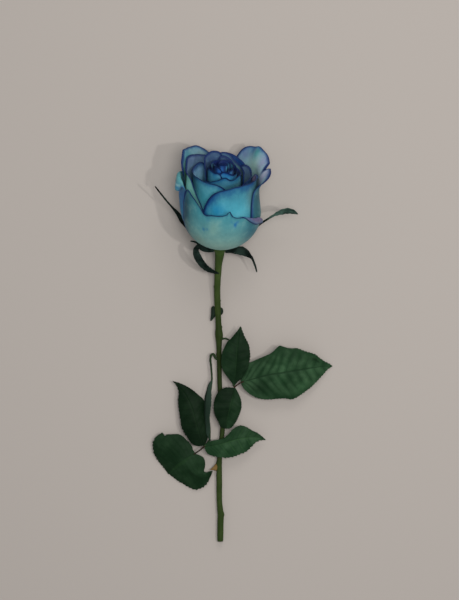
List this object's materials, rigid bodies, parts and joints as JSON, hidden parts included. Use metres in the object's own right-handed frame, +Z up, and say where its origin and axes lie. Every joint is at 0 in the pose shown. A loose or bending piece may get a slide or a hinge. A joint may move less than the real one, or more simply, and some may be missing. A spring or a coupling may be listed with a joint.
{
  "type": "cut rose",
  "caption": "Cut rose lying on a surface: a half-open cup-shaped bloom of layered petals on a calyx with curling sepals, a slim stem with a prickle, and compound serrated leaves.",
  "frame": {"origin": "on the surface that the rose lies on, under the middle of its bounding box", "axes": "+Y along the stem towards the bloom, +Z up out of the surface, towards the side of the rose that is seen, +X to the viewer's right when the bloom is at the top"},
  "size_m": [0.1185, 0.2622, 0.0565],
  "materials": {
    "outer_petal": "matte petal, teal blue with a soft sheen",
    "inner_petal": "matte petal, blue darkening to a navy rim",
    "heart_petal": "matte petal, navy blue",
    "sepal": "matte, dark green",
    "stem": "satin, olive green",
    "leaf": "satin, dark green"
  },
  "bodies": {
    "root": {"petal_front_guard": "outer_petal", "petal_right_guard": "outer_petal", "petal_back_guard": "outer_petal", "petal_left_guard": "outer_petal", "petal_left_back_outer": "inner_petal", "petal_left_middle": "inner_petal", "petal_front_middle": "inner_petal", "petal_back_middle": "inner_petal", "petal_left_inner": "inner_petal", "petal_right_inner": "inner_petal", "petal_back_inner": "inner_petal", "petal_front_inner": "inner_petal", "petal_left_scroll": "inner_petal", "petal_right_scroll": "inner_petal", "heart": "heart_petal", "calyx": "sepal", "stem": "stem", "leaf_right": "leaf", "leaf_left": "leaf"}
  },
  "joints": []
}
